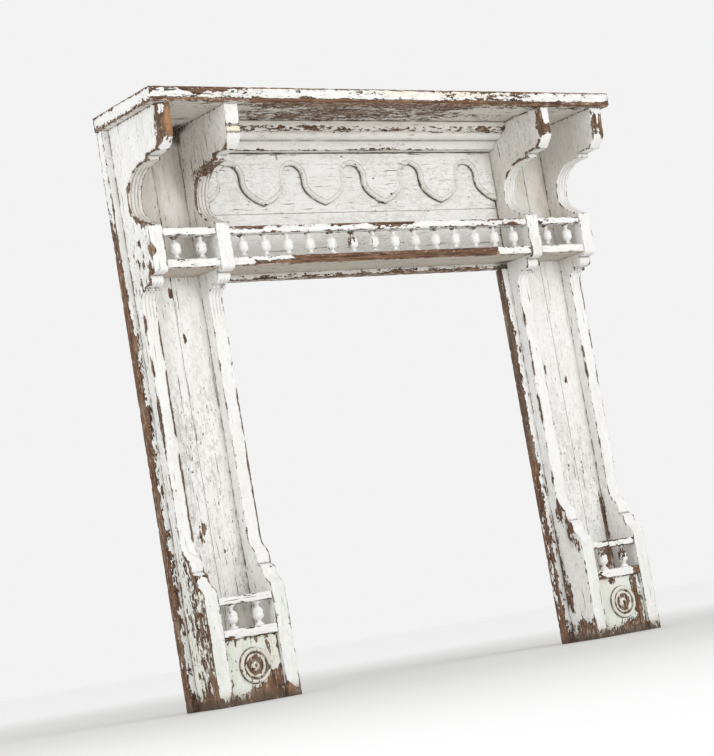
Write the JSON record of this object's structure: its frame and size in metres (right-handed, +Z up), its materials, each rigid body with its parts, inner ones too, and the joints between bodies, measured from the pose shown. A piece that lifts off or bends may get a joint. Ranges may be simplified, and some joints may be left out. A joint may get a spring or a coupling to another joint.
{
  "type": "fireplace mantelpiece",
  "caption": "Tall painted wood fireplace surround: shelf on scrolled brackets over a scalloped frieze, small spindle galleries and legs with rosette bases.",
  "frame": {"origin": "centre of the bounding box in plan, at the level of the feet", "axes": "+X along the shelf to the right end as seen from the front; +Y towards the wall at the flat back, so the front faces -Y; +Z up"},
  "size_m": [1.5, 0.282, 1.495],
  "materials": {
    "chipped_white_paint": "old white paint, cracked and chipped through to brown wood",
    "aged_white_boards": "dingy white paint with fine cracks along the grain, bare brown wood at the edges",
    "worn_base_paint": "worn brown wood with remains of cream and pale green paint"
  },
  "bodies": {
    "root": {"mantel_shelf": "chipped_white_paint", "frieze_board_upper": "aged_white_boards", "frieze_board_lower": "aged_white_boards", "scalloped_frieze": "aged_white_boards", "cornice_moulding": "aged_white_boards", "gallery_shelf_centre": "chipped_white_paint", "gallery_rail_centre": "chipped_white_paint", "gallery_shelf_left": "chipped_white_paint", "gallery_rail_left": "chipped_white_paint", "gallery_shelf_right": "chipped_white_paint", "gallery_rail_right": "chipped_white_paint", "gallery_baluster_01": "chipped_white_paint", "gallery_baluster_02": "chipped_white_paint", "gallery_baluster_03": "chipped_white_paint", "gallery_baluster_04": "chipped_white_paint", "gallery_baluster_05": "chipped_white_paint", "gallery_baluster_06": "chipped_white_paint", "gallery_baluster_07": "chipped_white_paint", "gallery_baluster_08": "chipped_white_paint", "gallery_baluster_09": "chipped_white_paint", "gallery_baluster_10": "chipped_white_paint", "gallery_baluster_11": "chipped_white_paint", "gallery_baluster_12": "chipped_white_paint", "gallery_baluster_13": "chipped_white_paint", "gallery_baluster_14": "chipped_white_paint", "gallery_baluster_15": "chipped_white_paint", "gallery_baluster_16": "chipped_white_paint", "gallery_baluster_17": "chipped_white_paint", "gallery_baluster_18": "chipped_white_paint", "leg_board_outer_left": "aged_white_boards", "leg_board_inner_left": "aged_white_boards", "bracket_outer_left": "chipped_white_paint", "bracket_inner_left": "chipped_white_paint", "base_ledge_left": "chipped_white_paint", "base_rail_left": "chipped_white_paint", "base_panel_left": "worn_base_paint", "base_rosette_left": "worn_base_paint", "base_baluster_left_01": "chipped_white_paint", "base_baluster_left_02": "chipped_white_paint", "leg_board_outer_right": "aged_white_boards", "leg_board_inner_right": "aged_white_boards", "bracket_outer_right": "chipped_white_paint", "bracket_inner_right": "chipped_white_paint", "base_ledge_right": "chipped_white_paint", "base_rail_right": "chipped_white_paint", "base_panel_right": "worn_base_paint", "base_rosette_right": "worn_base_paint", "base_baluster_right_01": "chipped_white_paint", "base_baluster_right_02": "chipped_white_paint"}
  },
  "joints": []
}
